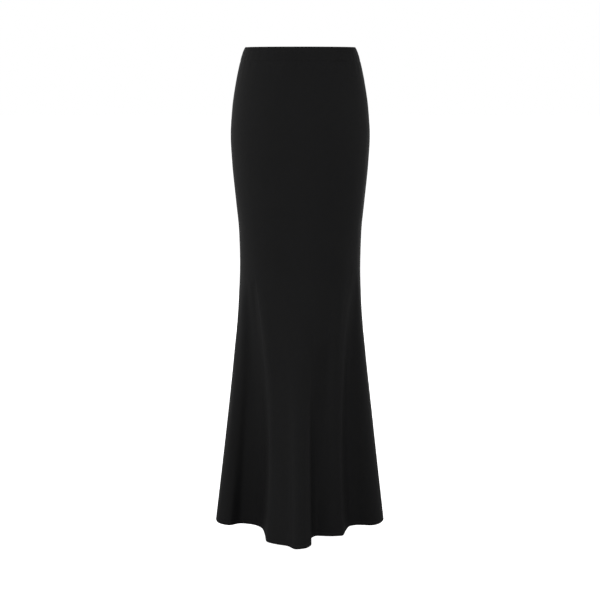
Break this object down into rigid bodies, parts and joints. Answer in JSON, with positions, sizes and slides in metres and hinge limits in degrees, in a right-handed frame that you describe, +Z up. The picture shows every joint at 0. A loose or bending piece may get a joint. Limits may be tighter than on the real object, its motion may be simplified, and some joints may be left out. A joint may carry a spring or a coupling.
{
  "type": "mermaid fishtail skirt",
  "caption": "Long black pull-on mermaid skirt, filled out as worn: narrow elasticated waistband, fitted hips, closest at the knee, then soft flutes down to a wavy hem.",
  "frame": {"origin": "on the body's axis, at the middle of the waistband's height, where the wearer's waist holds the skirt", "axes": "+Z up, out of the waist; the skirt's front faces -Y; +X runs across the front, to the right as seen from the front"},
  "size_m": [0.3844, 0.403, 1.0602],
  "materials": {
    "front_panel": "matte stretch crepe with a faint sheen",
    "back_panel": "matte stretch crepe with a faint sheen",
    "waistband": "matte stretch crepe folded over elastic"
  },
  "bodies": {
    "root": {"front_panel": "front_panel", "back_panel": "back_panel", "waistband": "waistband"}
  },
  "joints": []
}
